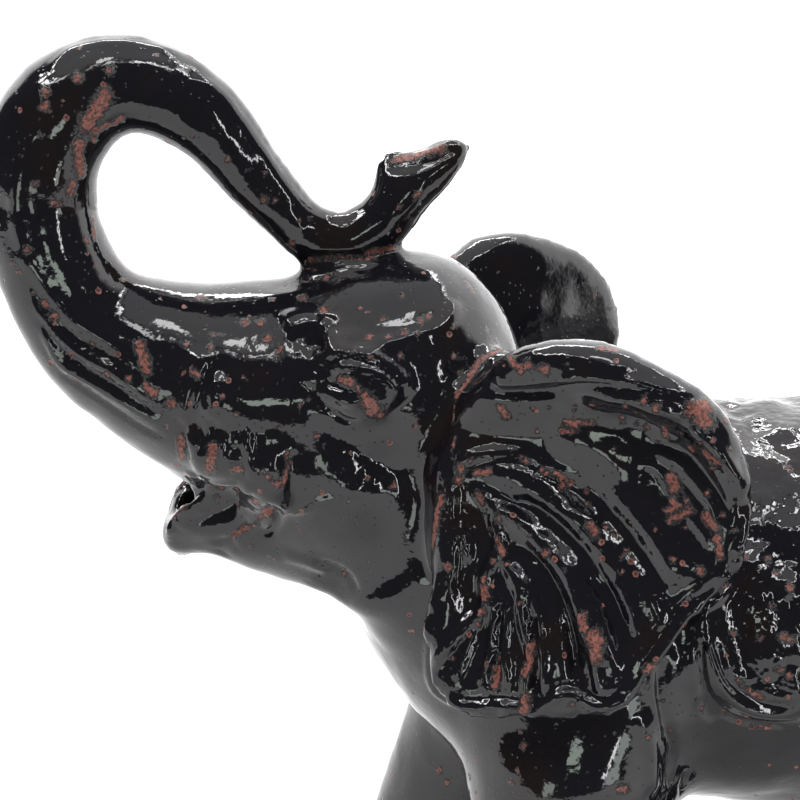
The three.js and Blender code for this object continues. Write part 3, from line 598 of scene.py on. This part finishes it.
# Shader maths as plain expressions
class Port:
    def __init__(self, tree, socket):
        self.tree = tree
        self.socket = socket

    def make(self, kind, settings=None, inputs=None, output=0):
        node = self.tree.nodes.new(kind)
        for name, value in (settings or {}).items():
            setattr(node, name, value)
        for name, value in (inputs or {}).items():
            if isinstance(value, Port):
                self.tree.links.new(value.socket, node.inputs[name])
            else:
                node.inputs[name].default_value = value
        return Port(self.tree, node.outputs[output]) if len(node.outputs) else Port(self.tree, None)

    def maths(self, operation, first, second):
        return self.make("ShaderNodeMath", {"operation": operation}, {0: first, 1: second})

    def __add__(self, other):
        return self.maths("ADD", self, other)

    __radd__ = __add__

    def __sub__(self, other):
        return self.maths("SUBTRACT", self, other)

    def __rsub__(self, other):
        return self.maths("SUBTRACT", other, self)

    def __mul__(self, other):
        return self.maths("MULTIPLY", self, other)

    __rmul__ = __mul__

    def __truediv__(self, other):
        return self.maths("DIVIDE", self, other)

    def __gt__(self, other):
        return self.maths("GREATER_THAN", self, other)

    def above(self, low, high):
        # climbs smoothly from 0 at low to 1 at high
        return self.make("ShaderNodeMapRange", {"interpolation_type": "SMOOTHSTEP"},
                         {"Value": self, "From Min": low, "From Max": high})

    def most(self, other):
        return self.maths("MAXIMUM", self, other)

    def mixed(self, low, high):
        # the colour low where this is 0, high where it is 1
        return self.make("ShaderNodeMix", {"data_type": "RGBA"}, {0: self, 6: low, 7: high}, output=2)


glazeLook = {
    "black": (0.0075, 0.0073, 0.0098, 1),
    "brown": (0.0108, 0.0076, 0.0076, 1),
    "brownPatches": (19.0, 3.0),     # of a noise: the size in millimetres, the detail, and the roughness
    "brownFrom": (0.52, 0.68),
    "clay": (0.30, 0.103, 0.078, 1),
    "clayDarkAndPitShade": (0.062, 0.022, 0.018, 1),
    "clayDirt": (0.8, 3.0),
    "clayFrom": (0.28, 0.62),
    "pitPaintedShade": 0.55,                # painted shade: how much darker the clay is painted in a pit
    "glossRough": 0.055,
    "clayRough": 0.5,
    "index": 1.5,
    "ragged": (2.2, 4.0, 0.62),
    "fray": (1.0, 4.0, 0.7),
    "busyPatches": (34.0, 1.0),      # some places have many holes, some none
    "busy": (0.42, 0.62),
    "busyEnough": (0.3, 0.31),
    "bigHoles": (5.6, 1.0, 0.5),     # the cell and the radius in millimetres, the share of cells with a hole
    "bigFray": 1.1,
    "bigEdge": (0.7, 0.85),
    "bigPitFray": 0.5,
    "bigPit": (0.2, 0.6),
    "smallHoles": (1.8, 0.32, 0.55),
    "smallPit": (0.6, 1.0),
    "rubFray": 1.15,
    "rubRagged": 0.5,
    "flake": (0.67, 0.71),           # how worn the glaze is where it has come off
    "rimRises": (0.47, 0.65),
    "rimFalls": (0.69, 0.79),
    "flakePitGrain": (0.9, 2.0),
    "flakePitFray": 0.5,
    "flakePit": (0.98, 1.06),
    # heights in millimetres
    "waves": ((6.0, 2.0, 0.13), (1.9, 2.0, 0.045), (0.7, 2.0, 0.006)),
    "rimHigh": 0.12,
    "clothGrain": (2.8, 1.0),
    "clothHigh": 0.30,
    "pitDeep": 0.32,
    "smallPitDeep": 0.22,
    "clayDeep": 0.06,
}
glaze = bpy.data.materials.new("blackGlaze")
glaze.use_nodes = True
glaze.node_tree.nodes.clear()
start = Port(glaze.node_tree, None)
spot = start.make("ShaderNodeTexCoord", output="Object")
millimetres = start.make("ShaderNodeVectorMath", {"operation": "SCALE"}, {0: spot, "Scale": 1 / carving["mm"]})


def grain(size, detail=2.0, rough=0.5):
    return start.make("ShaderNodeTexNoise", {}, {"Vector": millimetres, "Scale": 1 / size, "Detail": detail,
                                                 "Roughness": rough})


def pinholes(cell, radius, amount):
    # how far from a hole, in its radii, and whether its cell has one
    dots = start.make("ShaderNodeTexVoronoi", {}, {"Vector": millimetres, "Scale": 1 / cell}, output="Distance")
    colour = Port(dots.tree, dots.socket.node.outputs["Color"])
    chance = start.make("ShaderNodeSeparateColor", {}, {0: colour})
    return dots * cell / radius, chance > (1 - amount)


raggedness = grain(*glazeLook["ragged"]) - 0.5
fray = grain(*glazeLook["fray"]) - 0.5
saddleCloth = start.make("ShaderNodeAttribute", {"attribute_name": "saddle"}, output="Fac")
wornness = start.make("ShaderNodeAttribute", {"attribute_name": "wear"}, output="Fac")
busy = grain(*glazeLook["busyPatches"]).above(*glazeLook["busy"])
bigGap, bigThere = pinholes(*glazeLook["bigHoles"])
smallGap, smallThere = pinholes(*glazeLook["smallHoles"])
ragGap = bigGap + glazeLook["bigFray"] * fray
holeDisc = (1 - ragGap.above(*glazeLook["bigEdge"])) * bigThere * busy.above(*glazeLook["busyEnough"])
holePit = (1 - (bigGap + glazeLook["bigPitFray"] * fray).above(*glazeLook["bigPit"])) * bigThere
smallPit = (1 - smallGap.above(*glazeLook["smallPit"])) * smallThere
rubbed = wornness + glazeLook["rubFray"] * fray + glazeLook["rubRagged"] * raggedness
flake = rubbed.above(*glazeLook["flake"])
flakeRim = rubbed.above(*glazeLook["rimRises"]) * (1 - rubbed.above(*glazeLook["rimFalls"]))
pitFray = grain(*glazeLook["flakePitGrain"]) - 0.5
flakePit = (rubbed + glazeLook["flakePitFray"] * pitFray).above(*glazeLook["flakePit"])
clayMask = holeDisc.most(flake)
deep = holePit.most(flakePit)
# the clay's own uneven dirt tone, with painted shade that darkens it in the pits
clayDirtAndPitShade = grain(*glazeLook["clayDirt"]) - glazeLook["pitPaintedShade"] * deep
clayColour = clayDirtAndPitShade.above(*glazeLook["clayFrom"]).mixed(glazeLook["clayDarkAndPitShade"], glazeLook["clay"])
brownness = grain(*glazeLook["brownPatches"]).above(*glazeLook["brownFrom"])
baseColour = clayMask.mixed(brownness.mixed(glazeLook["black"], glazeLook["brown"]), clayColour)
roughness = glazeLook["glossRough"] + clayMask * (glazeLook["clayRough"] - glazeLook["glossRough"])
height = flakeRim * glazeLook["rimHigh"] - deep * glazeLook["pitDeep"]
for size, detail, high in glazeLook["waves"]:
    height = height + grain(size, detail) * high
height = height + saddleCloth * grain(*glazeLook["clothGrain"]) * glazeLook["clothHigh"]
height = height - smallPit * glazeLook["smallPitDeep"] - clayMask * glazeLook["clayDeep"]
bump = start.make("ShaderNodeBump", {}, {"Height": height, "Strength": 1.0, "Distance": carving["mm"]})
shader = start.make("ShaderNodeBsdfPrincipled", {}, {"Base Color": baseColour, "Roughness": roughness,
                                                     "IOR": glazeLook["index"], "Normal": bump})
start.make("ShaderNodeOutputMaterial", {}, {"Surface": shader})
elephant.data.materials.append(glaze)
print("glaze made")

# Studio: a glowing paper floor and a lit backdrop in a dark room, with a ring of small lamps under a dim ceiling
# and a few soft windows.
studio = {
    "floor": (3.0, 2.0, 0.50),    # width, depth, and how far it reaches in front of the figure
    "under": 0.0002,              # how far it lies below the soles
    "paper": 0.70,
    "paperColour": (0.4, 0.4, 0.4, 1),
    "paperRough": 0.9,
    "shadowAt": (0.07, -0.03, 0),
    "shadow": (0.12, 0.26),       # painted shadow: the paper's glow is darker under the body
    "shadowDeep": 0.75,
    "sweep": 2.5,                 # the lit backdrop behind the figure and to its right
    "sweepTurn": 150.0,
    "sweepSide": (0.12, 0.3),
    "sweepTop": 52.0,             # degrees above the horizon, as all heights in the room
    "sweepFade": (-0.03, 0.05),
    "ceiling": 1.0,
    "ceilingFrom": 55.0,
    "ceilingFade": 0.05,
    "dark": 0.07,
    "ring": (50.0, 55.5),         # a ring of small lamps all round, at the ceiling's edge
    "ringFade": 0.004,
    "ringBright": 24.0,
    "ringGap": 0.06,              # what is left of its light between the lamps
    "ringLamps": (8.0, 2.0),      # scale and detail of the noise that breaks it up
    "ringLampsFrom": (0.48, 0.52),
    "ringCut": 0.6,               # how much weaker the ring is on the photo's side
    "ringCutFrom": (0.3, 0.5),
    "backdrop": 2,                # what shows behind the figure
}
bpy.ops.object.select_all(action="DESELECT")
floorWide, floorDeep, floorFront = studio["floor"]
bpy.ops.mesh.primitive_plane_add(size=1, location=(0, floorDeep / 2 - floorFront, -studio["under"]))
floor = bpy.context.active_object
floor.name = "studioFloor"
floor.scale = (floorWide, floorDeep, 1)
bpy.ops.object.transform_apply(location=True, scale=True)
paper = bpy.data.materials.new("whitePaper")
paper.use_nodes = True
paper.node_tree.nodes.clear()
begin = Port(paper.node_tree, None)
onPaper = begin.make("ShaderNodeTexCoord", output="Object")
# A painted shadow: the paper's glow is darker round the figure in reflections, while the camera sees the glow
# unshaded.
fromFigure = begin.make("ShaderNodeVectorMath", {"operation": "DISTANCE"}, {0: onPaper, 1: studio["shadowAt"]},
                        output="Value")
paintedShadowUnderFigure = 1 - fromFigure.above(*studio["shadow"])
seenPaper = begin.make("ShaderNodeLightPath", output="Is Camera Ray")
shade = 1 - studio["shadowDeep"]
glowWithPaintedShadow = (paintedShadowUnderFigure * (1 - seenPaper)).mixed((1, 1, 1, 1), (shade, shade, shade, 1))
sheet = begin.make("ShaderNodeBsdfPrincipled", {}, {"Base Color": studio["paperColour"],
                                                    "Roughness": studio["paperRough"],
                                                    "Emission Color": glowWithPaintedShadow, "Emission Strength": studio["paper"]})
begin.make("ShaderNodeOutputMaterial", {}, {"Surface": sheet})
floor.data.materials.append(paper)

world = bpy.data.worlds.new("studioWorld")
bpy.context.scene.world = world
world.use_nodes = True
world.node_tree.nodes.clear()
sky = Port(world.node_tree, None)
direction = sky.make("ShaderNodeTexCoord", output="Generated")
skyHeight = sky.make("ShaderNodeSeparateXYZ", {}, {0: direction}, output="Z")
turned = math.radians(studio["sweepTurn"])
toSweep = sky.make("ShaderNodeVectorMath", {"operation": "DOT_PRODUCT"},
                   {0: direction, 1: (math.sin(turned), -math.cos(turned), 0)}, output="Value")
sweepTop = math.sin(math.radians(studio["sweepTop"]))
ceilingFrom = math.sin(math.radians(studio["ceilingFrom"]))
fadeFrom, fadeTo = (sweepTop + step for step in studio["sweepFade"])
sweep = toSweep.above(*studio["sweepSide"]) * (1 - skyHeight.above(fadeFrom, fadeTo))
ceiling = skyHeight.above(ceilingFrom, ceilingFrom + studio["ceilingFade"])
room = sweep * studio["sweep"] + ceiling * studio["ceiling"] + studio["dark"]
ringFrom, ringTo = (math.sin(math.radians(angle)) for angle in studio["ring"])
lampRing = skyHeight.above(ringFrom - studio["ringFade"], ringFrom)
lampRing = lampRing * (1 - skyHeight.above(ringTo, ringTo + studio["ringFade"]))
scale, detail = studio["ringLamps"]
ringNoise = sky.make("ShaderNodeTexNoise", {}, {"Vector": direction, "Scale": scale, "Detail": detail})
toPhotoSide = sky.make("ShaderNodeVectorMath", {"operation": "DOT_PRODUCT"},
                       {0: direction, 1: tuple(-look * (1, 1, 0))}, output="Value")
lampRing = lampRing * (studio["ringGap"] + ringNoise.above(*studio["ringLampsFrom"]))
lampRing = lampRing * (1 - studio["ringCut"] * toPhotoSide.above(*studio["ringCutFrom"]))
room = room + lampRing * studio["ringBright"]
seenDirectly = sky.make("ShaderNodeLightPath", output="Is Camera Ray")
seen = room.most(studio["backdrop"] * seenDirectly)
light = sky.make("ShaderNodeBackground", {}, {"Color": (1, 1, 1, 1), "Strength": seen})
sky.make("ShaderNodeOutputWorld", {}, {"Surface": light})

# name: place, size, brightness, colour
lamps = {
    "windowLeft": ((-0.42, -0.66, 0.03), (0.20, 0.12), 4.0, (0.92, 1, 0.92)),
    "windowRight": ((0.33, -0.72, 0.0), (0.14, 0.10), 4.5, (0.92, 1, 0.95)),
    "windowBehind": ((-0.15, -0.80, 0.27), (0.12, 0.08), 5.5, (0.88, 1, 0.9)),
    "skylight": ((-0.15, -0.42, 1.15), (0.17, 0.13), 12.0, (1, 1, 1)),
    "windowTall": ((0.21, -0.65, 0.22), (0.03, 0.34), 16.0, (1, 1, 1)),
}
for name, (place, size, bright, colour) in lamps.items():
    lampData = bpy.data.lights.new(name, "AREA")
    lampData.shape = "RECTANGLE"
    lampData.size, lampData.size_y = size
    lampData.color = colour
    lampData.energy = bright * math.pi * size[0] * size[1]    # watts of an even lamp of that radiance
    lamp = bpy.data.objects.new(name, lampData)
    lamp.location = place
    lamp.rotation_euler = (Vector(photoView["aim"]) - Vector(place)).to_track_quat("-Z", "Y").to_euler()
    lamp.visible_camera = False
    bpy.context.scene.collection.objects.link(lamp)
bpy.context.scene.view_settings.view_transform = "Standard"
print("studio made")
